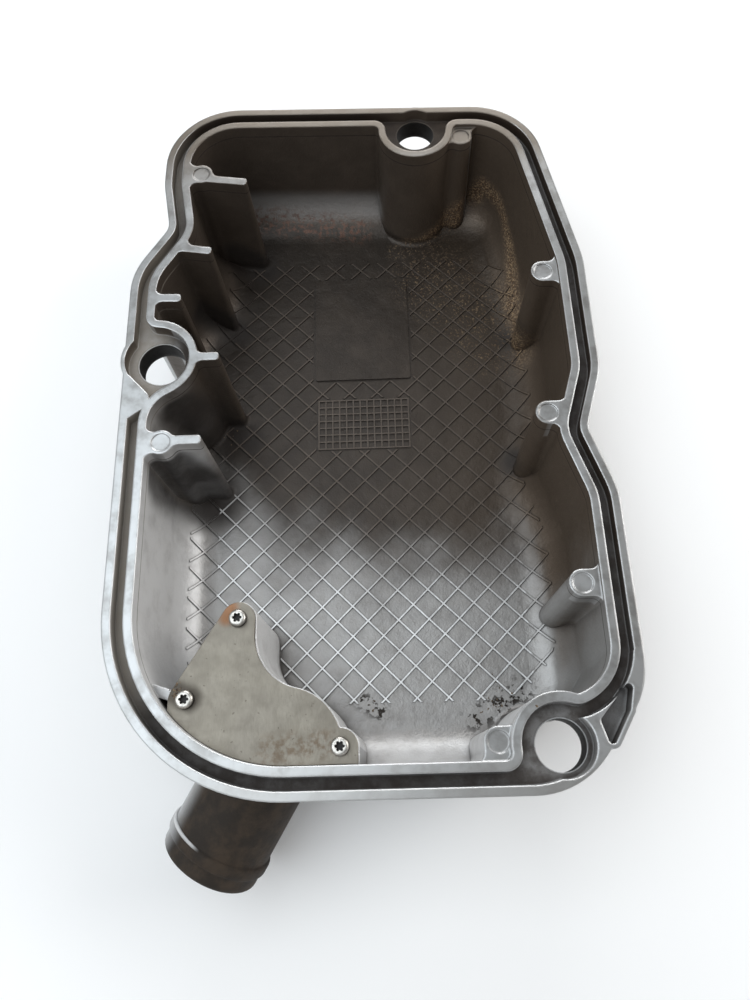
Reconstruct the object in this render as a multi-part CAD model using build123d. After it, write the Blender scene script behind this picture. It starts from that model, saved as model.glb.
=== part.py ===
from build123d import *
from math import atan2, cos, degrees, hypot, radians, sin, sqrt
import os

# Breather valve cover for one cylinder head, lying on its roof with its open side up.
# Millimetres. While it is built, X and Y start at the middle of the pocket, and Z at the roof.

# Driving dimensions: overall section
sealing_height = 54.0
roof_thickness = 4.0
wall_thickness = 4.0
wall_draft = 1.5
floor_fillet = 15.0
roof_fillet = 17.0

# Driving dimensions: pocket outline, seen from the open side
pocket_half_length = 122.0
pocket_half_width = 73.6
pocket_corner = 18.0
breather_corner = 48.0
breather_corner_inset = 3.4
top_edge_fall = 4.4
left_shoulder = 8.8
right_shoulder = 12.6
shoulder_corner = 30.0
left_shoulder_y = 94.0
right_shoulder_y = 50.0
left_waist_y = 70.0
left_waist_depth = 12.8
left_waist_end_y = 49.0
right_waist_y = -18.0
right_waist_depth = 7.6
right_waist_half = 24.0
waist_round = 17.0
bolt_corner_x = 17.8
bolt_corner_y = 22.5
bolt_corner_step = 17.1
bolt_corner_round = 16.0
bolt_corner_cusp = 0.5
cusp_tolerance = 0.001

# Driving dimensions: double rim with the gasket groove
lip_width = 2.9
groove_width = 3.8
groove_depth = 4.5
rim_width = 2.8
flange_thickness = 9.0
bolt_boss_thickness = 12.0

# Driving dimensions: fixing holes
bolt_hole = 15.0
side_bolt_hole = 16.6
bolt_land = 4.5
bolt_rim = 2.8
side_bolt_rim = 3.0
scallop_round = 2.1
side_scallop_round = 12.1
top_bolt_x = 24.6
top_bolt_inset = 1.6
top_scallop_shift = 0.9
top_groove_gap = 0.2
side_bolt_y = 14.7
side_bolt_inset = 1.2
side_bolt_shift = 2.2
corner_bolt_x = 17.0
corner_bolt_y = 4.0
corner_bolt_land = 1.9
corner_groove_start = 2.0
corner_groove_end = 30.0

# Driving dimensions: lands beside the groove and the blind pocket in one of them
side_land_start = 2.0
side_land_length = 16.0
side_land_tip = (6.4, 10.4)
side_land_reach = 4.0
side_land_round = 1.2
side_land_shoulder = 3.0
corner_pocket_depth = 6.0
corner_pocket_round = 1.2
corner_pocket_wall = 0.9
corner_pocket_web = 3.6
corner_pocket_tip_web = 6.0
corner_pocket_rise = (19.5, 6.4, -2.0)
corner_pocket_bulge = (20.3, 9.0)
corner_pocket_rim = 1.4

# Driving dimensions: ribs and ejector posts on the walls
rib_width = 3.2
rib_tip_round = 1.2
rib_draft = 0.8
foot_round = 3.0
foot_overlap = 0.3
foot_fillet = 2.0
post_width = 8.6
post_inset = 5.4
pad_reach = 8.0
ejector_mark = 6.4
ejector_mark_depth = 0.4
mark_border = 1.2

# Driving dimensions: breather chamber, its baffle plate and screws, placed from the pocket's corner
plate_drop = 3.4
plate_thickness = 1.8
plate_clearance = 0.3
plate_screw_places = [(34.7, 43.7), (19.8, 19.6), (66.1, 5.2)]
plate_neck = 5.0
plate_bend = (18.4, -21.6)
plate_shoulder = -0.4
lobe_radius = 5.2
chamber_wall = 3.2
chamber_wall_step = 0.4
boss_draft = 1.0
web_length = 15.6
screw_thread = 3.0
screw_length = 10.0
screw_hole_spare = 2.0
screw_head = 5.5
screw_head_height = 2.0
screw_head_round = 1.0
screw_recess = 3.0
screw_recess_depth = 1.3
screw_recess_lobe = 0.42
thread_clearance = 0.1
plate_hole_clearance = 0.3

# Driving dimensions: hose pipe
pipe_diameter = 32.0
pipe_bore = 26.0
pipe_end_x = -51.0
pipe_end_y = -148.0
pipe_end_z = 19.5
pipe_heading = -122.3
pipe_fall = 17.3
pipe_length = 42.0
pipe_bore_length = 50.0
pipe_bead_height = 0.9
pipe_bead_width = 4.0
pipe_bead_round = 0.85
pipe_bead_setback = 7.0
pipe_end_round = 1.4

# Driving dimensions: relief on the inner roof face
relief_height = 0.5
lattice_pitch = 8.0
lattice_line = 0.6
lattice_half_width = 68.0
lattice_top = 92.0
lattice_bottom = -100.0
lattice_corner = 26.0
lattice_middle_y = -2.4
lattice_margin = 1.0
lattice_wall_gap = 5.0
field_width = 40.0
field_length = 50.5
field_y = 57.5
field_height = 0.7
field_corner = 1.0
date_grid_width = 37.0
date_grid_length = 22.0
date_grid_y = 11.5
date_grid_columns = 13
date_grid_rows = 7
date_grid_line = 0.6
date_grid_height = 0.5

# Places of the ribs and posts: Y at the wall, reach past the pocket's left edge, fall to the tip
left_ribs = [
    (98.5, 31.4, 5.4),
    (64.5, 19.4, 4.0),
    (40.4, 9.4, 0.6),
    (14.7, 24.6, 0.0),
    (-17.6, 20.2, 0.0),
]
# Places of the ejector posts on the right wall: Y, inset from the pocket's right edge, and drop of
# the post's top below the lip
right_posts = [(46.6, 5.4, 1.2), (-12.0, 10.0, 0.0), (-70.7, 5.4, 1.2)]
top_post_x = 42.6
top_post_inset = 8.5
top_post_drop = 1.2
bottom_post_x = 38.6
bottom_post_drop = 3.5
left_marks = [(98.0, 13.4), (-18.2, 6.6)]

# Worked out from the driving dimensions
left = -pocket_half_width
right = pocket_half_width
top = pocket_half_length
bottom = -pocket_half_length
floor_z = roof_thickness
flange_reach = lip_width + groove_width + rim_width
seat_z = sealing_height - plate_drop - plate_thickness
plate_top_z = seat_z + plate_thickness
plate_screws = [(left + x, bottom + y) for x, y in plate_screw_places]
pipe_direction = Vector(
    cos(radians(pipe_heading)) * cos(radians(pipe_fall)),
    sin(radians(pipe_heading)) * cos(radians(pipe_fall)),
    -sin(radians(pipe_fall)),
)
pipe_end = Vector(pipe_end_x, pipe_end_y, pipe_end_z)

# Fixing holes: centre of the inner scallop, hole centre, hole radius, rim outside the hole,
# and the rounding of the scallop's two ends, lower end first
bolt_sites = [
    {
        "scallop": (top_bolt_x, top - top_edge_fall / 2 - top_bolt_inset - top_scallop_shift),
        "hole": (top_bolt_x, top - top_edge_fall / 2 - top_bolt_inset),
        "radius": bolt_hole / 2,
        "rim": bolt_rim,
        "ends": (scallop_round, scallop_round),
    },
    {
        "scallop": (left + side_bolt_inset, side_bolt_y),
        "hole": (left + side_bolt_inset + side_bolt_shift, side_bolt_y),
        "radius": side_bolt_hole / 2,
        "rim": side_bolt_rim + side_bolt_shift,
        "ends": (side_scallop_round, scallop_round),
    },
    {
        "scallop": (right - corner_bolt_x, bottom + corner_bolt_y),
        "hole": (right - corner_bolt_x, bottom + corner_bolt_y),
        "radius": bolt_hole / 2,
        "rim": bolt_rim,
        "ends": (scallop_round, scallop_round),
    },
]


def rounded_face(corners):
    """A flat face from (x, y, corner radius) entries."""
    points = [(x, y) for x, y, radius in corners]
    radii = [radius for x, y, radius in corners]
    return make_face(FilletPolyline(*points, radius=radii, close=True))


def prism(face, low, high, taper=0.0):
    """A face of the XY plane as a solid between two heights, drafted from its top down."""
    return extrude(Pos(0, 0, high) * face, amount=low - high, dir=(0, 0, 1), taper=taper)


def disc(place, radius):
    """A flat round face at an (x, y) place."""
    return Pos(place[0], place[1]) * Circle(radius)


def box_face(low_x, low_y, high_x, high_y):
    """A flat rectangle between two corners."""
    middle = ((low_x + high_x) / 2, (low_y + high_y) / 2)
    return Pos(*middle) * Rectangle(high_x - low_x, high_y - low_y)


def pocket_outline(lower_right):
    """The pocket edge without its scallops, clockwise, with the lower right corners given."""
    return rounded_face([
        (left + left_shoulder, top, pocket_corner),
        (right - right_shoulder, top - top_edge_fall, pocket_corner),
        (right, right_shoulder_y, shoulder_corner),
        (right, right_waist_y + right_waist_half, pocket_corner),
        (right - right_waist_depth, right_waist_y, waist_round),
        (right, right_waist_y - right_waist_half, pocket_corner),
        *lower_right,
        (left + breather_corner_inset, bottom, breather_corner),
        (left, left_waist_end_y, pocket_corner),
        (left + left_waist_depth, left_waist_y, waist_round),
        (left + left_shoulder, left_shoulder_y, shoulder_corner),
    ])


# The wall follows a chamfered corner, and the lip steps in round the fixing hole there
body_face = pocket_outline([
    (right, bottom + bolt_corner_y, pocket_corner),
    (right - bolt_corner_x, bottom, pocket_corner),
])
stepped_face = pocket_outline([
    (right, bottom + bolt_corner_step, bolt_corner_round),
    (right - corner_bolt_x, bottom + bolt_corner_step, bolt_corner_cusp),
    (right - corner_bolt_x, bottom, bolt_corner_cusp),
])


def nearest_vertex(face, place):
    """The corner of a face that lies nearest to an (x, y) place."""
    return min(face.vertices(), key=lambda corner: hypot(corner.X - place[0], corner.Y - place[1]))


def scalloped_pocket():
    """The pocket edge with its scallops: it steps inward round each fixing hole."""
    face = stepped_face
    for site in bolt_sites:
        x, y = site["scallop"]
        scallop = site["radius"] + bolt_land + lip_width
        face = face - disc((x, y), scallop)
        cusps = [
            (corner.X, corner.Y)
            for corner in face.vertices()
            if abs(hypot(corner.X - x, corner.Y - y) - scallop) < cusp_tolerance
        ]
        cusps.sort(key=lambda place: place[1])
        for place, radius in zip((cusps[0], cusps[-1]), site["ends"]):
            face = fillet([nearest_vertex(face, place)], radius)
    return face


pocket_face = scalloped_pocket()
lip_face = offset(pocket_face, amount=lip_width)


def side_land():
    """The flat land that closes the groove below the hole on the long side."""
    below_hole = bolt_sites[1]["hole"][1] - bolt_sites[1]["radius"]
    start = below_hole + side_land_start
    end = below_hole - side_land_length
    outer = left - flange_reach - rim_width
    inner = left - flange_reach + rim_width
    tip = left - lip_width + side_land_reach
    return rounded_face([
        (outer, start, side_land_round),
        (inner, start, side_land_round),
        (tip, below_hole - side_land_tip[0], side_land_shoulder),
        (tip, below_hole - side_land_tip[1], side_land_round),
        (inner, end, side_land_round),
        (outer, end, side_land_round),
    ])


def corner_pocket():
    """The small blind pocket that lightens the wide land in the lower right corner."""
    x, y = bolt_sites[2]["hole"]
    hole_side = x + bolt_sites[2]["radius"]
    rim_side = right + flange_reach - rim_width
    far_rise, near_rise, tip_rise = corner_pocket_rise
    return rounded_face([
        (rim_side - corner_pocket_wall, y + far_rise, corner_pocket_round),
        (hole_side + corner_pocket_web, y + near_rise, corner_pocket_round),
        (hole_side + corner_pocket_tip_web, y + tip_rise, corner_pocket_round),
        (x + corner_pocket_bulge[0], y + corner_pocket_bulge[1], corner_pocket_round),
    ])


def groove_outline():
    """The outer edge of the gasket groove, closed in by the two lands."""
    top_site, side, corner = bolt_sites
    corner_region = box_face(
        corner["hole"][0] + corner_groove_start,
        bottom - 2 * flange_reach,
        right + 2 * flange_reach,
        bottom + corner_groove_end,
    )
    face = offset(body_face, amount=lip_width + groove_width) - corner_region
    face = face + (offset(lip_face, amount=groove_width) & corner_region)
    face = face + disc(corner["hole"], corner["radius"] + corner_bolt_land)
    face = face + disc(side["hole"], side["radius"] + side["rim"] - rim_width / 2)
    face = face + disc(top_site["hole"], top_site["radius"] + rim_width / 2 - top_groove_gap)
    return face - side_land()


def flange():
    """The flange with its bolt bosses, as one solid block before any cut."""
    outline = offset(body_face, amount=flange_reach) + offset(corner_pocket(), amount=corner_pocket_rim)
    boss_low = sealing_height - bolt_boss_thickness
    bosses = []
    for site in bolt_sites:
        boss = disc(site["hole"], site["radius"] + site["rim"])
        outline = outline + boss
        bosses.append(prism(boss, boss_low, sealing_height))
    return prism(outline, sealing_height - flange_thickness, sealing_height) + bosses


def outer_shell():
    """The outside of the cover below the flange: a drafted box with a rounded roof edge."""
    shell = prism(offset(body_face, amount=wall_thickness), 0, sealing_height, wall_draft)
    shell = fillet(shell.faces().sort_by(Axis.Z)[0].edges(), roof_fillet)
    recess = offset(body_face, amount=2 * wall_thickness) - offset(pocket_face, amount=wall_thickness)
    return shell - prism(recess, 0, sealing_height - bolt_boss_thickness)


def pocket_solid(skin):
    """The space inside, less a skin: drafted walls and a large fillet round the roof face."""
    outline = offset(body_face, amount=-skin) if skin else body_face
    space = prism(outline, floor_z + skin, sealing_height, wall_draft)
    return fillet(space.faces().sort_by(Axis.Z)[0].edges(), floor_fillet - skin)


def stub_rib(root, tip, width):
    """The top of a rib that runs from a wall to a free tip, with rounded tip corners."""
    length = hypot(tip[0] - root[0], tip[1] - root[1])
    angle = degrees(atan2(tip[1] - root[1], tip[0] - root[0]))
    bar = Pos(length / 2, 0) * RectangleRounded(length, width, rib_tip_round)
    return Pos(*root) * Rot(0, 0, angle) * bar


def post_face(place, wall_place):
    """The top of an ejector post, joined to the wall beside it."""
    return disc(place, post_width / 2) + stub_rib(wall_place, place, post_width)


def wall_features():
    """Flat tops of the ribs and ejector posts, and each post or mark as (place, drop below the lip)."""
    faces = []
    marks = []
    for y, reach, fall in left_ribs:
        faces.append(stub_rib((left - foot_round, y), (left + reach, y - fall), rib_width))
    for y, reach in left_marks:
        place = (left + reach, y)
        faces.append(disc(place, ejector_mark / 2 + mark_border))
        marks.append((place, 0.0))
    top_place = (top_post_x, top - top_post_inset)
    bottom_place = (bottom_post_x, bottom + post_inset)
    posts = [
        (top_place, (top_post_x, top + foot_round), top_post_drop),
        (bottom_place, (bottom_post_x, bottom - foot_round), bottom_post_drop),
        (bottom_place, (bottom_post_x + post_width, bottom + post_inset), bottom_post_drop),
    ]
    for y, inset, drop in right_posts:
        posts.append(((right - inset, y), (right + foot_round, y), drop))
    for place, wall_place, drop in posts:
        faces.append(post_face(place, wall_place))
        marks.append((place, drop))
    return faces, marks


def clear_space(faces, marks):
    """The space between the ribs and posts, whose feet join the wall in round corners."""
    outline = offset(pocket_face, amount=foot_overlap) - faces
    outline = outline.faces().sort_by(SortBy.AREA)[-1]
    outline = offset(offset(outline, amount=-foot_round), amount=foot_round)
    space = prism(outline, floor_z, sealing_height, rib_draft)
    space = fillet(space.faces().sort_by(Axis.Z)[0].edges(), foot_fillet)
    for place, drop in marks:
        if drop:
            space = space + prism(disc(place, pad_reach), sealing_height - drop, sealing_height)
    return space


def plate_shape():
    """The baffle plate's outline, before it is clipped to the pocket wall."""
    first, second, third = [Vector(x, y) for x, y in plate_screws]
    along = (second - first).normalized()
    side = Vector(along.Y, -along.X) * lobe_radius
    upper_left = first + side
    lower_left = second + side
    upper_right = first + Vector(lobe_radius, 0)
    neck = upper_right - Vector(0, plate_neck)
    bend = first + Vector(*plate_bend)
    shoulder = third + Vector(plate_shoulder, lobe_radius)
    lower_right = third + Vector(lobe_radius, 0)
    below = bottom - 2 * wall_thickness
    left_x = second.X - lobe_radius
    concave = TangentArc(neck, bend, tangent=(0, -1))
    convex = TangentArc(bend, shoulder, tangent=concave % 1)
    diagonal = lobe_radius / sqrt(2)
    edges = [
        Line(lower_left, upper_left),
        ThreePointArc(upper_left, first + Vector(0, lobe_radius), upper_right),
        Line(upper_right, neck),
        concave,
        convex,
        ThreePointArc(shoulder, third + Vector(diagonal, diagonal), lower_right),
        Line(lower_right, (lower_right.X, below)),
        Line((lower_right.X, below), (left_x, below)),
        Line((left_x, below), (left_x, second.Y)),
        ThreePointArc((left_x, second.Y), second + side.rotate(Axis.Z, 20), lower_left),
    ]
    return make_face(edges)


def plate_outline():
    """The baffle plate's outline, clear of the pocket wall."""
    return plate_shape() & offset(pocket_face, amount=-plate_clearance)


def chamber_features():
    """The chamber wall and the screw bosses that carry the baffle plate."""
    shape = plate_shape()
    ring = offset(shape, amount=chamber_wall_step) - offset(shape, amount=-chamber_wall)
    first, second = [Vector(x, y) for x, y in plate_screws[:2]]
    along = (second - first).normalized()
    side = Vector(along.Y, -along.X)
    corners = [
        first + side * web_length,
        first - side * lobe_radius + along * lobe_radius,
        second - side * lobe_radius - along * lobe_radius,
        second + side * web_length,
    ]
    opening = make_face(Polyline(*corners, close=True))
    wall = prism(ring - opening, 0, seat_z, -boss_draft)
    bosses = [prism(disc(place, lobe_radius), 0, seat_z, -boss_draft) for place in plate_screws]
    web_end = (plate_screws[1][0] - web_length, plate_screws[1][1] + lobe_radius)
    web = prism(stub_rib(web_end, plate_screws[1], rib_width), 0, seat_z, -rib_draft)
    return [wall, web] + bosses


def along_pipe(setback):
    """A plane across the pipe's axis, some way back from its end, facing inward."""
    return Plane(origin=pipe_end - pipe_direction * setback, z_dir=-pipe_direction)


def hose_pipe():
    """The pipe's outside with its hose bead and rounded end."""
    pipe = extrude(along_pipe(0) * Circle(pipe_diameter / 2), amount=pipe_length)
    end_edge = pipe.edges().filter_by(GeomType.CIRCLE).sort_by_distance(pipe_end)[0]
    pipe = fillet([end_edge], pipe_end_round)
    start = along_pipe(pipe_bead_setback - pipe_bead_width / 2)
    bead = extrude(start * Circle(pipe_diameter / 2 + pipe_bead_height), amount=pipe_bead_width)
    bead = fillet(bead.edges().filter_by(GeomType.CIRCLE), pipe_bead_round)
    return pipe + bead


def hose_bore():
    """The bore, from the pipe's open end into the breather chamber."""
    return extrude(along_pipe(-1.0) * Circle(pipe_bore / 2), amount=pipe_bore_length)


def lattice_face():
    """Crossed lines at 45 degrees, clear of the nameplate field, the date grid and the chamber."""
    middle_y = (lattice_top + lattice_bottom) / 2
    height = lattice_top - lattice_bottom
    region = Pos(0, middle_y) * RectangleRounded(2 * lattice_half_width, height, lattice_corner)
    region = region & offset(body_face, amount=-lattice_wall_gap)
    region = region - Pos(0, field_y) * Rectangle(
        field_width + 2 * lattice_margin, field_length + 2 * lattice_margin
    )
    region = region - Pos(0, date_grid_y) * Rectangle(
        date_grid_width + 2 * lattice_margin, date_grid_length + 2 * lattice_margin
    )
    region = region - offset(plate_shape(), amount=chamber_wall_step + lattice_margin)
    half_count = int((lattice_half_width + height / 2) / sqrt(2) / lattice_pitch)
    bars = []
    for angle in (45, -45):
        for index in range(-half_count, half_count + 1):
            bar = Pos(0, index * lattice_pitch) * Rectangle(2 * height, lattice_line)
            clipped = (Pos(0, lattice_middle_y) * Rot(0, 0, angle) * bar) & region
            bars += clipped.faces()
    return bars


def date_grid():
    """The fine grid of the casting date table, as raised lines."""
    column = date_grid_width / date_grid_columns
    row = date_grid_length / date_grid_rows
    lines = []
    for index in range(date_grid_columns + 1):
        x = -date_grid_width / 2 + index * column
        lines.append(Pos(x, date_grid_y) * Rectangle(date_grid_line, date_grid_length + date_grid_line))
    for index in range(date_grid_rows + 1):
        y = date_grid_y - date_grid_length / 2 + index * row
        lines.append(Pos(0, y) * Rectangle(date_grid_width, date_grid_line))
    return lines


def floor_relief():
    """Everything raised on the inner roof face. It starts inside the roof's thickness."""
    low = floor_z / 2
    space = pocket_solid(relief_height)
    bars = lattice_face()
    lattice = Part() + [prism(bar, low, floor_z + floor_fillet / 2) for bar in bars]
    lattice = lattice - space
    field = Pos(0, field_y) * RectangleRounded(field_width, field_length, field_corner)
    grid = Part() + [prism(line, low, floor_z + date_grid_height) for line in date_grid()]
    return [lattice, prism(field, low, floor_z + field_height), grid]


def cover_casting():
    """The whole die casting."""
    faces, marks = wall_features()
    columns = prism(body_face - pocket_face, 0, sealing_height)
    space = (pocket_solid(0) & clear_space(faces, marks)) - columns - chamber_features()
    space = space.solids().sort_by(SortBy.VOLUME)[-1]
    casting = (outer_shell() + flange() + hose_pipe()) - space - hose_bore()
    ring = groove_outline() - lip_face
    casting = casting - prism(ring, sealing_height - groove_depth, sealing_height + 1)
    casting = casting - prism(
        corner_pocket(), sealing_height - corner_pocket_depth, sealing_height + 1
    )
    for site in bolt_sites:
        casting = casting - prism(disc(site["hole"], site["radius"]), 0, sealing_height)
    for place in plate_screws:
        low = seat_z - screw_length - screw_hole_spare
        hole = disc(place, screw_thread / 2 + thread_clearance)
        casting = casting - prism(hole, low, seat_z + 1)
    for place, drop in marks:
        height = sealing_height - drop
        mark = prism(disc(place, ejector_mark / 2), height - ejector_mark_depth, height + 1)
        casting = casting - mark
    for relief in floor_relief():
        casting = casting + relief
    return casting


def baffle_plate():
    """The flat plate over the breather chamber."""
    outline = plate_outline()
    for place in plate_screws:
        outline = outline - disc(place, screw_thread / 2 + plate_hole_clearance)
    return prism(outline, seat_z, plate_top_z)


def baffle_screw(place):
    """One cap screw with a round six-lobe recess, standing in its boss."""
    head = Pos(0, 0, screw_head_height / 2) * Cylinder(screw_head / 2, screw_head_height)
    head = fillet(head.edges().group_by(Axis.Z)[-1], screw_head_round)
    lobe_centre = screw_recess / 2 - screw_recess_lobe
    lobes = Circle(lobe_centre) + [
        Rot(0, 0, 60 * index) * (Pos(lobe_centre, 0) * Circle(screw_recess_lobe))
        for index in range(6)
    ]
    head = head - prism(lobes, screw_head_height - screw_recess_depth, screw_head_height + 1)
    shank = prism(Circle(screw_thread / 2), -screw_length - plate_thickness, 0)
    return Pos(place[0], place[1], plate_top_z) * (head + shank)


parts = {"cover_casting": cover_casting(), "baffle_plate": baffle_plate()}
for number, place in enumerate(plate_screws, start=1):
    parts[f"baffle_screw_{number}"] = baffle_screw(place)

# The shared origin is under the middle of the whole cover, on the surface that it lies on
whole = parts["cover_casting"].bounding_box()
shift = Pos(-(whole.min.X + whole.max.X) / 2, -(whole.min.Y + whole.max.Y) / 2, -whole.min.Z)

os.makedirs("parts", exist_ok=True)
for name, shape in parts.items():
    export_step(shift * shape, f"parts/{name}.step")
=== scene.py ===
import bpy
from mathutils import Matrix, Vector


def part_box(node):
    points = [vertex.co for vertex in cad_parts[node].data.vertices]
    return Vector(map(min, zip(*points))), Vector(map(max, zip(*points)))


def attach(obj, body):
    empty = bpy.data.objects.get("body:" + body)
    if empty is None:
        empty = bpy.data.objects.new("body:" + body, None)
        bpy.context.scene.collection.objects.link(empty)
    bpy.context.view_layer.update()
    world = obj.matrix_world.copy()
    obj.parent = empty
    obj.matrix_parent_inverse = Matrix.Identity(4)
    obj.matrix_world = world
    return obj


bl_info = {
    "name": "Breather valve cover finish",
    "version": (1, 0, 0),
    "blender": (4, 5, 0),
    "location": "View3D > Sidebar > Valve cover",
    "description": "Dresses the packed breather valve cover as oil-stained die-cast aluminium",
    "category": "Object",
}

import math
import random

import bmesh
import bpy
from bpy.props import FloatProperty, FloatVectorProperty, IntProperty, PointerProperty
from mathutils import Matrix, Vector
from mathutils.bvhtree import BVHTree

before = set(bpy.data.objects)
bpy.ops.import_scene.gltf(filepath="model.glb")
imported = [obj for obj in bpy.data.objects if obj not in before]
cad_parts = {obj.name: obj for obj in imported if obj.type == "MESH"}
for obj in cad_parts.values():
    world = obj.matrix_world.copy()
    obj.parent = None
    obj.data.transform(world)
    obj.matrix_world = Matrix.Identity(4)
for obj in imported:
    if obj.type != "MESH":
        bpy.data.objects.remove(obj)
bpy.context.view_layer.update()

# One millimetre of the object, in Blender's metres
MM = 0.001

# Levels in millimetres: rim and plate read from the frame, then the groove's floor below the rim,
# the inner face of the roof, and the top of the fine lines on it
rim_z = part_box("cover_casting")[1].z / MM
plate_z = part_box("baffle_plate")[1].z / MM
groove_z = rim_z - 4.5
floor_z = 4.0
line_z = 4.5

# Marks on the cover in millimetres. Each is a line between two places, then the distance within
# which the mark is full and the one at which it has faded out.
# Soot, and at the feet of the ribs and posts painted shadow as well
SOOT_AND_RIB_SHADOW = [
    ((-70.0, -9.0, 40.0), (-59.0, -8.0, 12.0), 9.0, 18.0),
    ((-65.0, 15.0, 42.0), (-57.0, 19.0, 12.0), 5.0, 14.0),
    ((-52.0, 24.0, 6.0), (-47.0, 18.0, 4.0), 2.0, 9.0),
    ((-66.0, 73.0, 18.0), (-54.0, 71.0, 8.0), 3.0, 11.0),
    ((-53.0, 105.0, 13.0), (-43.0, 103.0, 7.0), 3.0, 11.0),
    ((60.0, 5.0, 6.0), (64.0, 3.0, 16.0), 2.0, 9.0),
    ((62.0, 62.0, 8.0), (66.0, 60.0, 20.0), 2.0, 9.0),
]
DRY_DEPOSIT = [
    ((54.9, 128.0, 24.2), (51.7, 129.3, 18.3), 1.0, 6.0),
    ((51.7, 129.3, 18.3), (46.0, 122.9, 17.6), 1.5, 7.0),
    ((46.0, 122.9, 17.6), (41.1, 122.0, 10.3), 2.0, 8.0),
    ((41.1, 122.0, 10.3), (31.6, 115.7, 4.4), 2.0, 8.0),
    ((31.6, 115.7, 4.4), (16.0, 111.0, 4.0), 1.0, 6.0),
    ((54.9, 128.0, 24.2), (60.8, 122.2, 21.8), 1.0, 6.5),
    ((60.8, 122.2, 21.8), (65.4, 102.2, 16.5), 1.0, 6.5),
    ((65.4, 102.2, 16.5), (65.4, 79.6, 8.4), 1.0, 7.0),
    ((65.4, 79.6, 8.4), (61.0, 66.0, 5.0), 1.0, 7.0),
    ((34.0, 94.0, 4.0), (58.0, 64.0, 4.0), 8.0, 26.0),
]
BURNT_FLAKES = [
    ((38.0, -93.0, 5.0), (55.0, -84.0, 4.0), 1.0, 8.0),
    ((-2.0, -86.0, 4.0), (4.0, -90.0, 4.0), 1.0, 5.0),
]
VARNISH = [((-44.0, 129.0, 8.0), (0.0, 123.0, 5.0), 2.0, 9.0)]
# A lighter band along the far fillet, partly painted highlight
RIDGE_HIGHLIGHT = [((-52.0, 131.5, 14.0), (10.0, 130.5, 13.0), 2.0, 9.0)]
# Walls of the fixing holes, painted near-black as painted shade
SHADED_HOLE_WALLS = [
    ((24.9, 131.2, 30.0), (24.9, 131.2, 49.0), 7.9, 8.3),
    ((-69.9, 27.7, 30.0), (-69.9, 27.7, 49.0), 8.7, 9.1),
    ((56.9, -105.0, 30.0), (56.9, -105.0, 49.0), 7.9, 8.3),
]
HOSE_PIPE = [((-53.6, -152.0, 18.0), (-33.0, -119.5, 30.0), 18.5, 22.0)]
HOSE_PIPE_END = [((-53.6, -152.0, 18.0), (-46.4, -140.7, 22.2), 18.5, 20.0)]
PLATE_RUST = [((-42.3, -65.0, 50.0), (-41.0, -61.5, 50.0), 0.8, 3.6)]
PLATE_OIL = [((-27.0, -104.5, 50.0), (-12.0, -103.0, 50.0), 1.0, 7.0)]
PLATE_DIRT = [((-57.0, -87.0, 50.0), (-52.0, -89.0, 50.0), 2.2, 5.2)]

# Heaps of crumbs: centre and spread in millimetres, then the share of the crumbs
HEAPS = [
    ((-56.6, -86.6), 2.2, 0.3),
    ((46.0, -88.0), 8.0, 0.2),
    ((1.0, -88.0), 4.0, 0.06),
    ((-56.0, 20.0), 5.0, 0.06),
    ((45.0, 83.0), 12.0, 0.35),
    ((33.0, 97.0), 5.0, 0.15),
]


def linear(text):
    """An sRGB hex colour as linear red, green, blue and alpha."""
    channels = [int(text[index:index + 2], 16) / 255 for index in (1, 3, 5)]
    return [c / 12.92 if c <= 0.04045 else ((c + 0.055) / 1.055) ** 2.4 for c in channels] + [1.0]


def add(tree, kind, links=None, **settings):
    """Adds a node with its settings. A link is an output socket, or a plain value for the input."""
    made = tree.nodes.new(kind)
    for name, value in settings.items():
        setattr(made, name, value)
    for name, value in (links or {}).items():
        if isinstance(value, bpy.types.NodeSocket):
            tree.links.new(value, made.inputs[name])
        else:
            made.inputs[name].default_value = value
    return made


def new_material(name):
    """An empty node material with its output, and the surface place in millimetres."""
    material = bpy.data.materials.new(name)
    material.use_nodes = True
    tree = material.node_tree
    tree.nodes.clear()
    output = add(tree, "ShaderNodeOutputMaterial")
    coordinate = add(tree, "ShaderNodeTexCoord")
    place = add(tree, "ShaderNodeVectorMath", {0: coordinate.outputs["Object"], "Scale": 1 / MM},
                operation="SCALE").outputs[0]
    return material, tree, output, place


def patches(tree, place, size, low, high, detail=4.0, stretch=(1.0, 1.0, 1.0)):
    """Cloudy patches of one size in millimetres, from 0 where the noise is low to 1 where it is high."""
    where = add(tree, "ShaderNodeVectorMath", {0: place, 1: stretch}, operation="MULTIPLY").outputs[0]
    cloud = add(tree, "ShaderNodeTexNoise", {"Vector": where, "Scale": 1 / size, "Detail": detail,
                                             "Roughness": 0.6}).outputs["Fac"]
    return add(tree, "ShaderNodeMapRange", {"Value": cloud, "From Min": low, "From Max": high},
               interpolation_type="SMOOTHSTEP").outputs[0]


def past(tree, vector, axis, low, high):
    """0 where a vector's X, Y or Z is at the low level, rising to 1 at the high one."""
    part = add(tree, "ShaderNodeSeparateXYZ", {0: vector}).outputs[axis]
    return add(tree, "ShaderNodeMapRange", {"Value": part, "From Min": low, "From Max": high},
               interpolation_type="SMOOTHSTEP").outputs[0]


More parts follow.
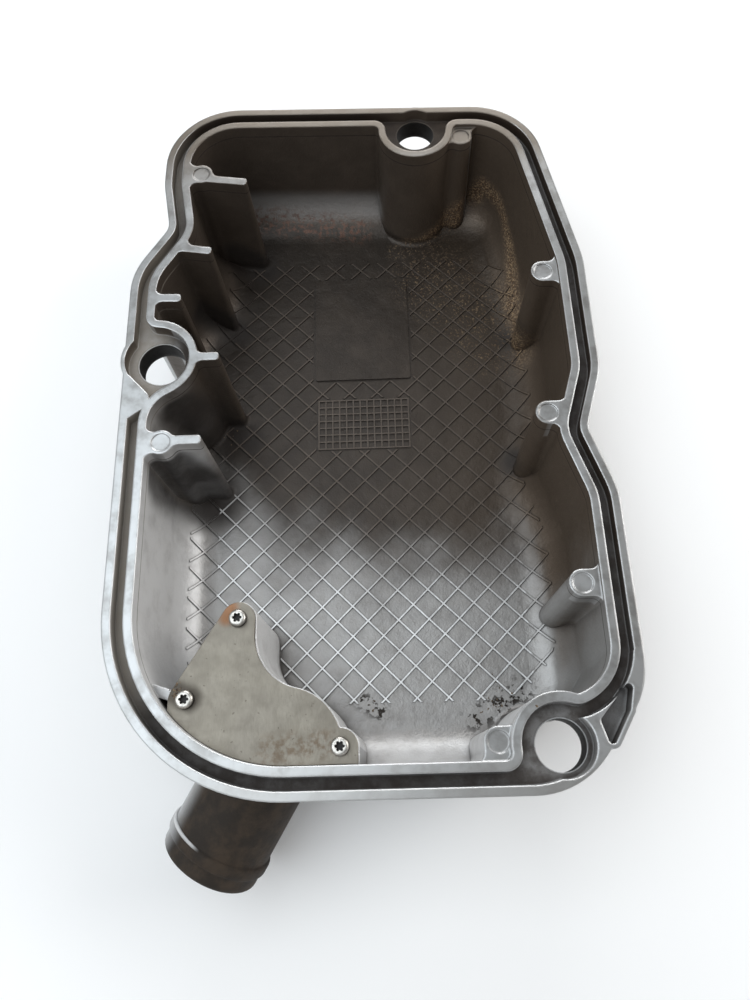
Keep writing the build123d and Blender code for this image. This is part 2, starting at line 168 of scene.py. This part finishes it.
def near_lines(tree, place, lines):
    """1 within the inner distance of any of the lines, 0 past the outer one."""
    masks = []
    for start, end, inner, outer in lines:
        start, run = Vector(start), Vector(end) - Vector(start)
        away = add(tree, "ShaderNodeVectorMath", {0: place, 1: start}, operation="SUBTRACT").outputs[0]
        along = add(tree, "ShaderNodeVectorMath", {0: away, 1: run / run.length_squared},
                    operation="DOT_PRODUCT").outputs["Value"]
        held = add(tree, "ShaderNodeClamp", {"Value": along}).outputs[0]
        foot = add(tree, "ShaderNodeVectorMath", {0: run, "Scale": held}, operation="SCALE").outputs[0]
        distance = add(tree, "ShaderNodeVectorMath", {0: away, 1: foot},
                       operation="DISTANCE").outputs["Value"]
        masks.append(add(tree, "ShaderNodeMapRange", {"Value": distance, "From Min": outer,
                                                      "From Max": inner},
                         interpolation_type="SMOOTHSTEP").outputs[0])
    return joined(tree, *masks)


def overlap(tree, *masks):
    """The part that all the masks share."""
    shared = masks[0]
    for mask in masks[1:]:
        shared = add(tree, "ShaderNodeMath", {0: shared, 1: mask}, operation="MULTIPLY").outputs[0]
    return shared


def joined(tree, *masks):
    """Everything that any of the masks covers."""
    whole = masks[0]
    for mask in masks[1:]:
        whole = add(tree, "ShaderNodeMath", {0: whole, 1: mask}, operation="MAXIMUM").outputs[0]
    return whole


def layered(tree, base, *layers):
    """A colour or a number under layers, each a mask and what it shows. Text is an sRGB hex colour."""
    items = [base] + [top for mask, top in layers]
    base, *tops = [linear(item) if isinstance(item, str) else item for item in items]
    number = isinstance(base, float)
    kind, under, over, result = ("FLOAT", 2, 3, 0) if number else ("RGBA", 6, 7, 2)
    for (mask, top), item in zip(layers, tops):
        links = {"Factor": mask, under: base, over: item}
        base = add(tree, "ShaderNodeMix", links, data_type=kind).outputs[result]
    return base


def hollows(tree, reach, open_share, shut_share):
    """1 in corners and recesses, where little light gets within a reach in millimetres."""
    occluded = add(tree, "ShaderNodeAmbientOcclusion", {"Distance": reach * MM}, samples=8,
                   only_local=True).outputs["AO"]
    return add(tree, "ShaderNodeMapRange", {"Value": occluded, "From Min": open_share,
                                            "From Max": shut_share},
               interpolation_type="SMOOTHSTEP").outputs[0]


def sharp_edge_mask(tree, rounded, low, high):
    """1 along sharp edges: where a rounded normal leaves the true one."""
    true = add(tree, "ShaderNodeNewGeometry").outputs["Normal"]
    match = add(tree, "ShaderNodeVectorMath", {0: rounded, 1: true},
                operation="DOT_PRODUCT").outputs["Value"]
    return add(tree, "ShaderNodeMapRange", {"Value": match, "From Min": high, "From Max": low},
               interpolation_type="SMOOTHSTEP").outputs[0]


def relief(tree, normal, *layers):
    """Bump over a normal, from (height, depth in millimetres) layers."""
    for height, depth in layers:
        links = {"Height": height, "Distance": depth * MM, "Strength": 1.0}
        if normal is not None:
            links["Normal"] = normal
        normal = add(tree, "ShaderNodeBump", links).outputs[0]
    return normal


def pocket_masks(tree, place, normal):
    """Masks of the inside of the pocket, of all but the outer walls, and of the walls inside."""
    # A wall faces in where its normal points to the middle, and an outer wall faces away from it
    flat = add(tree, "ShaderNodeVectorMath", {0: place, 1: (1.0, 1.0, 0.0)},
               operation="MULTIPLY").outputs[0]
    outward = add(tree, "ShaderNodeVectorMath", {0: flat, 1: normal},
                  operation="DOT_PRODUCT").outputs["Value"]
    facing_in = add(tree, "ShaderNodeMapRange", {"Value": outward, "From Min": -2.0, "From Max": -8.0},
                    interpolation_type="SMOOTHSTEP").outputs[0]
    aligned = add(tree, "ShaderNodeVectorMath", {0: place, 1: normal}, operation="MULTIPLY").outputs[0]
    not_outer = overlap(tree, past(tree, aligned, "X", 40.0, 20.0), past(tree, aligned, "Y", 125.0, 115.0))
    middle = overlap(tree, past(tree, place, "X", -66.0, -62.0), past(tree, place, "X", 66.0, 62.0))
    width = joined(tree, middle, past(tree, place, "Z", 46.0, 44.0))
    inside = joined(tree, facing_in, overlap(
        tree, width, not_outer, past(tree, place, "Y", -103.0, -101.0), past(tree, place, "Z", 2.0, 3.0)))
    walls = overlap(tree, past(tree, place, "Z", floor_z + 0.8, floor_z + 3.0),
                    past(tree, normal, "Z", 0.97, 0.75), inside)
    return inside, not_outer, walls


def baked_oil_and_shade(tree, place, inside):
    """Film of baked oil, and painted shade over the dark far half: heavy there, fading out nearer the hose
    pipe.
    """
    # It ends sooner along the left wall and later along the right one
    lean = layered(tree, 0.0, (past(tree, place, "X", -28.0, -62.0), -36.0),
                   (past(tree, place, "X", 60.0, 70.0), 26.0))
    cloud = patches(tree, place, 30.0, 0.3, 0.7)
    shift = add(tree, "ShaderNodeMath", {0: cloud, 1: 18.0, 2: lean}, operation="MULTIPLY_ADD").outputs[0]
    reach = add(tree, "ShaderNodeCombineXYZ", {"Y": shift}).outputs[0]
    reach = add(tree, "ShaderNodeVectorMath", {0: place, 1: reach}, operation="ADD").outputs[0]
    thin = overlap(tree, patches(tree, place, 9.0, 0.42, 0.75), 0.22)
    # Painted shade as well as baked oil: dark brown over the far half
    oil_and_shade = overlap(tree, inside, joined(tree, past(tree, reach, "Y", -56.0, 0.0), thin))
    # Thinner oil along the far fillet: a lighter band, partly painted highlight
    return overlap(tree, oil_and_shade, layered(tree, 1.0, (near_lines(tree, place, RIDGE_HIGHLIGHT), 0.72)))


def skin_under_oil(tree, place, settings, walls, oil_and_shade):
    """Colour of the as-cast skin under the baked oil, darkest on the floor; painted light makes the inner
    walls lighter and painted shade makes the right wall darker.
    """
    skin = layered(tree, "#bdbebf",
                   (patches(tree, place, 6.0, 0.35, 0.7), "#adacaa"),
                   (overlap(tree, past(tree, place, "Z", floor_z + 4.0, floor_z + 0.5), 0.8), "#959391"),
                   (patches(tree, place, 1.0, 0.6, 0.85), "#8a8782"),
                   # Painted light: the inner walls lighter, and the right wall darker as painted shade
                   (overlap(tree, walls, 0.85), "#e8e8e8"),
                   (overlap(tree, walls, past(tree, place, "X", 57.0, 66.0), 0.8), "#71706e"))
    oil = layered(tree, list(settings.oil_colour) + [1.0],
                  (patches(tree, place, 12.0, 0.35, 0.7), "#6a5f55"),
                  (overlap(tree, past(tree, place, "X", 0.0, 55.0), 0.65), "#8a7763"),
                  (overlap(tree, past(tree, place, "X", 0.0, -60.0), 0.5), "#37322e"),
                  # Painted light: the oil lighter on the inner walls
                  (overlap(tree, walls, 0.7), "#5b5148"),
                  (overlap(tree, past(tree, place, "Z", floor_z + 5.0, floor_z + 1.0), 0.8), "#2c2621"))
    return layered(tree, skin, (oil_and_shade, oil))


def cast_aluminium(settings):
    """Die-cast aluminium: dull silver as-cast skin, painted highlights along the edges, and brown where
    hot oil baked on, partly painted shade.
    """
    material, tree, output, place = new_material("die_cast_aluminium_oil_baked")
    normal = add(tree, "ShaderNodeNewGeometry").outputs["Normal"]
    # Hollows, where little light gets: painted shade below
    hollow_shade = hollows(tree, 7.0, 0.85, 0.35)
    inside, not_outer, walls = pocket_masks(tree, place, normal)

    # Cast edges are rounded: most along the walls, least on the fine lines of the roof face
    softness = layered(tree, 0.15 * MM, (past(tree, place, "Z", 16.0, 20.0), 2.2 * MM),
                       (past(tree, place, "Z", 46.0, 50.0), 0.9 * MM))
    rounded = add(tree, "ShaderNodeBevel", {"Radius": softness}, samples=6).outputs[0]
    edges = sharp_edge_mask(tree, rounded, 0.8, 0.97)

    # Baked oil, partly painted shade over the far half
    oil_and_shade = baked_oil_and_shade(tree, place, inside)
    colour = skin_under_oil(tree, place, settings, walls, oil_and_shade)

    # Reddish varnish under the far ridge. Near-black soot down the left wall and where the ribs and posts
    # meet the floor, where it is also painted shadow of the ribs
    varnish = overlap(tree, near_lines(tree, place, VARNISH), patches(tree, place, 2.0, 0.45, 0.65))
    soot_and_shadow = overlap(tree, not_outer, near_lines(tree, place, SOOT_AND_RIB_SHADOW),
                   layered(tree, 0.82, (patches(tree, place, 14.0, 0.35, 0.65), 0.95)),
                   past(tree, place, "Z", 50.0, 47.0))
    colour = layered(tree, colour, (overlap(tree, varnish, 0.75), "#664638"), (soot_and_shadow, "#25201d"))

    # Burnt oil flakes at the lower right
    flakes = overlap(tree, near_lines(tree, place, BURNT_FLAKES), patches(tree, place, 2.4, 0.52, 0.58))

    # Dry deposit round the far bolt column: dense on the walls, sparse specks on the floor
    dense = layered(tree, 0.45, (patches(tree, place, 1.1, 0.4, 0.54), 1.0))
    sparse = overlap(tree, patches(tree, place, 0.9, 0.54, 0.62, detail=3.0), 0.6)
    deposit = overlap(tree, not_outer, near_lines(tree, place, DRY_DEPOSIT), layered(
        tree, sparse, (past(tree, place, "Z", floor_z + 0.6, floor_z + 3.0), dense)))
    dust = layered(tree, "#54402f", (patches(tree, place, 0.7, 0.46, 0.6, detail=3.0), "#a58c6d"))
    colour = layered(tree, colour, (flakes, "#2a2521"), (deposit, dust))

    # Sludge in the groove, paler along the left side; the same colour as painted shade in every hollow,
    # and near-black painted shade on the walls of the fixing holes
    sludge_and_shade = layered(tree, "#231a14", (past(tree, place, "X", -62.0, -74.0), "#857e75"))
    groove = overlap(tree, past(tree, place, "Z", groove_z - 0.4, groove_z - 0.2),
                     past(tree, place, "Z", groove_z + 0.3, groove_z + 0.1),
                     layered(tree, 0.75, (patches(tree, place, 6.0, 0.35, 0.65), 1.0)))
    # Painted shade: the walls of the fixing holes near-black
    hole_shade = overlap(tree, near_lines(tree, place, SHADED_HOLE_WALLS),
                    past(tree, place, "Z", groove_z + 0.1, groove_z - 0.2))

    # The hose pipe is brown with oil, up to the flange
    outside = joined(tree, layered(tree, 1.0, (inside, 0.0)), near_lines(tree, place, HOSE_PIPE_END))
    pipe = overlap(tree, near_lines(tree, place, HOSE_PIPE), outside, past(tree, place, "Z", 46.0, 44.0))
    pipe_oil = layered(tree, "#231b13", (patches(tree, place, 6.0, 0.35, 0.7), "#3a2e22"))
    # Painted shade: sludge colour in every hollow, and real sludge in the groove
    colour = layered(tree, colour, (overlap(tree, hollow_shade, 0.85), sludge_and_shade),
                     (overlap(tree, groove, 0.9), sludge_and_shade), (hole_shade, "#110d0a"), (pipe, pipe_oil))

    # Rims, posts and ejector marks: clean silver along the left, browned at the far end and the right
    rim = overlap(tree, past(tree, place, "Z", groove_z + 0.25, groove_z + 0.45),
                  past(tree, normal, "Z", 0.9, 0.98))
    browned = joined(tree, overlap(tree, past(tree, place, "X", 72.0, 76.0), 0.15),
                     overlap(tree, past(tree, place, "Y", 95.0, 125.0), 0.9))
    dulled = overlap(tree, past(tree, place, "Y", -100.0, -118.0), 0.7)
    machined = layered(tree, "#b4b6b7", (patches(tree, place, 7.0, 0.4, 0.7), "#959594"),
                       (dulled, "#a2a19f"), (browned, "#6c645a"))

    # Painted highlight: a bright colour along sharp edges and on the tops of the fine lines, browner under
    # the oil
    # Painted highlight on the tops of the fine lines
    lines = overlap(tree, past(tree, place, "Z", line_z - 0.2, line_z - 0.1),
                    past(tree, place, "Z", line_z + 0.12, line_z + 0.05),
                    past(tree, normal, "Z", 0.99, 0.997), layered(tree, 0.75, (oil_and_shade, 0.45)))
    # Painted highlight along sharp edges, strongest near the rim, faint in hollows and none on the pipe
    edge_highlight = layered(tree, 0.3, (past(tree, place, "Z", 44.0, 47.0), 0.85),
                   (past(tree, place, "Z", 16.0, 12.0), 0.5))
    edge_highlight = overlap(tree, edges, edge_highlight, layered(tree, 1.0, (hollow_shade, 0.2), (pipe, 0.0)))
    highlight_colour = layered(tree, "#eceeef", (oil_and_shade, "#6b6158"))
    colour = layered(tree, colour, (rim, machined), (joined(tree, lines, edge_highlight), highlight_colour))

    # Bare metal is smooth, oil dulls it, and soot, sludge and dust are rough and not metal at all; so are
    # the painted shade on the hole walls and at the ribs' feet, and the painted shade in hollows is not
    # metal
    roughness = layered(tree, settings.skin_roughness, (oil_and_shade, 0.4),
                        (joined(tree, soot_and_shadow, groove, hole_shade, pipe), 0.75), (deposit, 0.85), (rim, 0.32))
    metallic = layered(tree, 0.72, (walls, 0.25), (oil_and_shade, 0.45), (pipe, 0.1),
                       (joined(tree, hollow_shade, soot_and_shadow, deposit, groove, hole_shade), 0.05), (rim, 0.9))
    skin_only = layered(tree, 1.0, (rim, 0.15))
    grain = patches(tree, place, settings.grain_size / MM, 0.3, 0.7, detail=3.0)
    dents = patches(tree, place, 5.0, 0.3, 0.7)
    surface = relief(tree, rounded, (overlap(tree, dents, skin_only), 0.1),
                     (overlap(tree, grain, skin_only), 0.03), (deposit, 0.12))
    shader = add(tree, "ShaderNodeBsdfPrincipled", {"Base Color": colour, "Metallic": metallic,
                                                     "Roughness": roughness, "Normal": surface})
    tree.links.new(shader.outputs[0], output.inputs["Surface"])
    return material


def oily_sheet_steel(settings):
    """Rolled steel sheet with an old dull passivation: warm grey, cloudy, and stained by oil."""
    material, tree, output, place = new_material("rolled_sheet_steel_stained")
    rounded = add(tree, "ShaderNodeBevel", {"Radius": 0.4 * MM}, samples=6).outputs[0]
    edges = sharp_edge_mask(tree, rounded, 0.8, 0.97)
    stain = overlap(tree, near_lines(tree, place, PLATE_OIL), patches(tree, place, 2.4, 0.4, 0.62))
    specks = patches(tree, place, 1.6, 0.7, 0.74, detail=2.0)
    colour = layered(
        tree, list(settings.sheet_colour) + [1.0],
        (patches(tree, place, 11.0, 0.35, 0.7), "#7c776e"),
        (overlap(tree, specks, 0.5), "#453d34"),
        (overlap(tree, near_lines(tree, place, PLATE_RUST), 0.7), "#8a5a33"),
        (overlap(tree, stain, 0.6), "#5b4835"),
        (overlap(tree, near_lines(tree, place, PLATE_DIRT), 0.75), "#2d2620"),
        # Painted highlight along the plate's sharp edges
        (overlap(tree, edges, 0.45), "#bdb9ae"))
    grain = patches(tree, place, 0.5, 0.3, 0.7, detail=2.0, stretch=(1.0, 0.25, 1.0))
    surface = relief(tree, rounded, (patches(tree, place, 14.0, 0.2, 0.8), 0.2), (grain, 0.012))
    roughness = layered(tree, 0.38, (patches(tree, place, 6.0, 0.35, 0.7), 0.52))
    shader = add(tree, "ShaderNodeBsdfPrincipled", {"Base Color": colour, "Metallic": 0.85,
                                                     "Roughness": roughness, "Normal": surface})
    tree.links.new(shader.outputs[0], output.inputs["Surface"])
    return material


def zinc_plate(settings):
    """Bright zinc-plated steel screws: silver heads, with near-black down in the recess and in hollows,
    oil and painted shade.
    """
    material, tree, output, place = new_material("zinc_plated_steel_screw")
    rounded = add(tree, "ShaderNodeBevel", {"Radius": 0.25 * MM}, samples=6).outputs[0]
    # Painted shade with some oil: near-black down in the recess and in hollows
    recess = past(tree, place, "Z", plate_z + 1.4, plate_z + 1.0)
    sludge_and_shade = overlap(tree, joined(tree, hollows(tree, 1.6, 0.8, 0.5), recess),
                     patches(tree, place, 0.6, 0.1, 0.4))
    colour = layered(tree, list(settings.screw_colour) + [1.0],
                     (patches(tree, place, 1.2, 0.4, 0.7), "#a3a19c"), (sludge_and_shade, "#14100e"))
    roughness = layered(tree, 0.28, (sludge_and_shade, 0.55))
    metallic = layered(tree, 1.0, (sludge_and_shade, 0.0))
    surface = relief(tree, rounded, (patches(tree, place, 0.35, 0.3, 0.7), 0.02))
    shader = add(tree, "ShaderNodeBsdfPrincipled", {"Base Color": colour, "Metallic": metallic,
                                                     "Roughness": roughness, "Normal": surface})
    tree.links.new(shader.outputs[0], output.inputs["Surface"])
    return material


def dry_residue():
    """Burnt oil and rust crumbs: dull, dark brown and grainy."""
    material, tree, output, place = new_material("burnt_oil_crumbs")
    colour = layered(tree, "#3a2f26", (patches(tree, place, 0.8, 0.4, 0.6), "#7a6852"))
    surface = relief(tree, None, (patches(tree, place, 0.2, 0.3, 0.7), 0.05))
    shader = add(tree, "ShaderNodeBsdfPrincipled", {"Base Color": colour, "Roughness": 0.85,
                                                     "Normal": surface})
    tree.links.new(shader.outputs[0], output.inputs["Surface"])
    return material


def wear(node, material):
    """Gives a CAD node one material."""
    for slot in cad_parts[node].material_slots:
        slot.material = material


class CoverFinish(bpy.types.PropertyGroup):
    """Sizes and colours of the cover's finish."""

    grain_size: FloatProperty(
        name="Casting grain", description="Size of the as-cast skin's grain",
        default=0.7 * MM, min=0.1 * MM, unit="LENGTH",
    )
    skin_roughness: FloatProperty(
        name="Skin roughness", description="Roughness of the clean as-cast skin",
        default=0.42, min=0.05, max=1.0, subtype="FACTOR",
    )
    oil_colour: FloatVectorProperty(
        name="Baked oil", description="Colour of oil baked onto the inside",
        default=linear("#4a423b")[:3], subtype="COLOR", min=0.0, max=1.0,
    )
    sheet_colour: FloatVectorProperty(
        name="Baffle plate", description="Colour of the baffle plate's sheet steel",
        default=linear("#847f75")[:3], subtype="COLOR", min=0.0, max=1.0,
    )
    screw_colour: FloatVectorProperty(
        name="Screws", description="Colour of the screws' zinc plating",
        default=linear("#cfccc6")[:3], subtype="COLOR", min=0.0, max=1.0,
    )
    crumb_size: FloatProperty(
        name="Crumb size", description="Usual size of a crumb of burnt oil",
        default=0.55 * MM, min=0.1 * MM, unit="LENGTH",
    )
    crumb_count: IntProperty(
        name="Crumbs", description="Number of crumbs of burnt oil", default=150, min=0,
    )


class CoverStage(bpy.types.PropertyGroup):
    """Floor, light and camera."""

    floor_colour: FloatVectorProperty(
        name="Floor", description="Colour of the floor",
        default=linear("#f8f8f8")[:3], subtype="COLOR", min=0.0, max=1.0,
    )
    room_light: FloatProperty(
        name="Room light", description="Strength of the even light from all round",
        default=0.42, min=0.0,
    )
    box_light: FloatProperty(
        name="Softbox", description="Brightness of the softbox overhead", default=1.9, min=0.0,
    )
    box_width: FloatProperty(
        name="Softbox width", description="Side of the square softbox",
        default=1.2, min=0.1, unit="LENGTH",
    )
    panel_light: FloatProperty(
        name="Side panels", description="Brightness of the two light panels at the far side",
        default=3.4, min=0.0,
    )
    panel_width: FloatProperty(
        name="Panel width", description="Side of each square light panel",
        default=0.85, min=0.1, unit="LENGTH",
    )


class COVER_OT_casting(bpy.types.Operator):
    """Finish the casting as oil-stained die-cast aluminium"""

    bl_idname = "cover.finish_casting"
    bl_label = "Finish casting"

    def execute(self, context):
        wear("cover_casting", cast_aluminium(context.scene.cover_finish))
        return {"FINISHED"}


class COVER_OT_plate(bpy.types.Operator):
    """Finish the baffle plate as stained sheet steel"""

    bl_idname = "cover.finish_plate"
    bl_label = "Finish baffle plate"

    def execute(self, context):
        wear("baffle_plate", oily_sheet_steel(context.scene.cover_finish))
        return {"FINISHED"}


class COVER_OT_screws(bpy.types.Operator):
    """Finish the baffle screws as zinc-plated steel"""

    bl_idname = "cover.finish_screws"
    bl_label = "Finish screws"

    def execute(self, context):
        material = zinc_plate(context.scene.cover_finish)
        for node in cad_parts:
            if node.startswith("baffle_screw"):
                wear(node, material)
        return {"FINISHED"}


class COVER_OT_crumbs(bpy.types.Operator):
    """Lay crumbs of burnt oil on the pocket floor and the baffle plate"""

    bl_idname = "cover.lay_crumbs"
    bl_label = "Lay crumbs"

    def execute(self, context):
        settings = context.scene.cover_finish
        draw = random.Random(7)
        trees = [
            BVHTree.FromPolygons([vertex.co for vertex in node.data.vertices],
                                 [polygon.vertices for polygon in node.data.polygons])
            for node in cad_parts.values()
        ]
        mesh = bmesh.new()
        above = (rim_z + 10) * MM
        down = Vector((0, 0, -1))
        shares = [share for centre, spread, share in HEAPS]
        for index in range(settings.crumb_count):
            (x, y), spread, share = draw.choices(HEAPS, weights=shares)[0]
            # A crumb drops from above, and stays only on a face that is level enough
            place = Vector((draw.gauss(x, spread / 2) * MM, draw.gauss(y, spread / 2) * MM, above))
            hits = [tree.ray_cast(place, down) for tree in trees]
            hits = [hit for hit in hits if hit[0] is not None and hit[1].z > 0.6]
            size = settings.crumb_size * draw.uniform(0.5, 1.5)
            if not hits:
                continue
            ground = max(hits, key=lambda hit: hit[0].z)[0]
            grain = bmesh.ops.create_icosphere(mesh, subdivisions=1, radius=size / 2)
            turn = Matrix.Rotation(draw.uniform(0, math.tau), 4, "Z")
            squash = Matrix.Diagonal((draw.uniform(0.7, 1.5), draw.uniform(0.6, 1.2), 0.6, 1.0))
            for corner in grain["verts"]:
                jitter = Vector([draw.uniform(-0.15, 0.15) * size for axis in range(3)])
                corner.co = turn @ squash @ (corner.co + jitter) + ground
        data = bpy.data.meshes.new("oil_crumbs")
        mesh.to_mesh(data)
        mesh.free()
        crumbs = bpy.data.objects.new("oil_crumbs", data)
        context.scene.collection.objects.link(crumbs)
        data.materials.append(dry_residue())
        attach(crumbs, "root")
        return {"FINISHED"}


class COVER_OT_stage(bpy.types.Operator):
    """Set the floor, the light and the camera"""

    bl_idname = "cover.set_stage"
    bl_label = "Set stage"

    def execute(self, context):
        scene = context.scene
        settings = scene.cover_stage
        add_floor(scene, settings)
        add_light(scene, settings)
        add_camera(scene)
        return {"FINISHED"}


def add_floor(scene, settings):
    """A wide pale floor under the cover."""
    reach = 4.0
    mesh = bpy.data.meshes.new("floor")
    corners = [(-reach, -reach, 0), (reach, -reach, 0), (reach, reach, 0), (-reach, reach, 0)]
    mesh.from_pydata(corners, [], [(0, 1, 2, 3)])
    floor = bpy.data.objects.new("floor", mesh)
    scene.collection.objects.link(floor)
    material = bpy.data.materials.new("matt_white_board")
    material.use_nodes = True
    shader = material.node_tree.nodes["Principled BSDF"]
    shader.inputs["Base Color"].default_value = list(settings.floor_colour) + [1.0]
    shader.inputs["Roughness"].default_value = 0.9
    mesh.materials.append(material)


def add_light(scene, settings):
    """One large cool softbox overhead on the left, two panels at the far side, and an even room."""
    world = bpy.data.worlds.new("room")
    world.use_nodes = True
    background = world.node_tree.nodes["Background"]
    background.inputs["Color"].default_value = (1.0, 1.0, 1.0, 1.0)
    background.inputs["Strength"].default_value = settings.room_light
    scene.world = world
    # Name, place in metres, width, brightness and colour of each lamp
    lamps = [
        ("softbox", (-0.62, -0.08, 0.9), settings.box_width, settings.box_light, (0.88, 0.95, 1.0)),
        ("far_panel", (0.05, 1.25, 0.52), settings.panel_width, settings.panel_light, (1.0, 1.0, 1.0)),
        ("right_panel", (1.15, 0.35, 0.62), settings.panel_width, settings.panel_light, (1.0, 0.98, 0.95)),
    ]
    for name, place, width, radiance, colour in lamps:
        lamp = bpy.data.lights.new(name, "AREA")
        lamp.size = width
        # Watts that give a square lamp this brightness whatever its width
        lamp.energy = radiance * math.pi * width ** 2
        lamp.color = colour
        light = bpy.data.objects.new(name, lamp)
        light.location = place
        if name != "softbox":
            light.rotation_euler = Vector(place).to_track_quat("Z", "Y").to_euler()
        scene.collection.objects.link(light)


def add_camera(scene):
    """The camera looks steeply down on the open side from just beyond the hose pipe."""
    lens = bpy.data.cameras.new("camera")
    lens.sensor_fit = "VERTICAL"
    lens.sensor_height = 36.0
    lens.lens = 26.82
    lens.clip_start = 0.01
    camera = bpy.data.objects.new("camera", lens)
    right = Vector((0.9993, -0.0244, -0.0275)).normalized()
    forward = Vector((-0.0167, 0.3633, -0.9315)).normalized()
    up = right.cross(forward).normalized()
    right = forward.cross(up)
    turn = Matrix((right, up, -forward)).transposed().to_4x4()
    camera.matrix_world = Matrix.Translation((0.0089, -0.11598, 0.278)) @ turn
    scene.collection.objects.link(camera)
    scene.camera = camera
    scene.view_settings.view_transform = "Standard"


class COVER_PT_panel(bpy.types.Panel):
    """Lists the cover's finish settings and steps"""

    bl_idname = "COVER_PT_panel"
    bl_label = "Breather valve cover"
    bl_space_type = "VIEW_3D"
    bl_region_type = "UI"
    bl_category = "Valve cover"

    def draw(self, context):
        for settings in (context.scene.cover_finish, context.scene.cover_stage):
            for name in settings.__annotations__:
                self.layout.prop(settings, name)
        for operator in OPERATORS:
            self.layout.operator(operator.bl_idname)


OPERATORS = (COVER_OT_stage, COVER_OT_casting, COVER_OT_plate, COVER_OT_screws, COVER_OT_crumbs)
CLASSES = (CoverFinish, CoverStage) + OPERATORS + (COVER_PT_panel,)


def register():
    for entry in CLASSES:
        bpy.utils.register_class(entry)
    bpy.types.Scene.cover_finish = PointerProperty(type=CoverFinish)
    bpy.types.Scene.cover_stage = PointerProperty(type=CoverStage)


def unregister():
    del bpy.types.Scene.cover_stage
    del bpy.types.Scene.cover_finish
    for entry in reversed(CLASSES):
        bpy.utils.unregister_class(entry)


def main():
    register()
    bpy.ops.cover.set_stage()
    bpy.ops.cover.finish_casting()
    bpy.ops.cover.finish_plate()
    bpy.ops.cover.finish_screws()
    bpy.ops.cover.lay_crumbs()


if __name__ == "__main__":
    main()
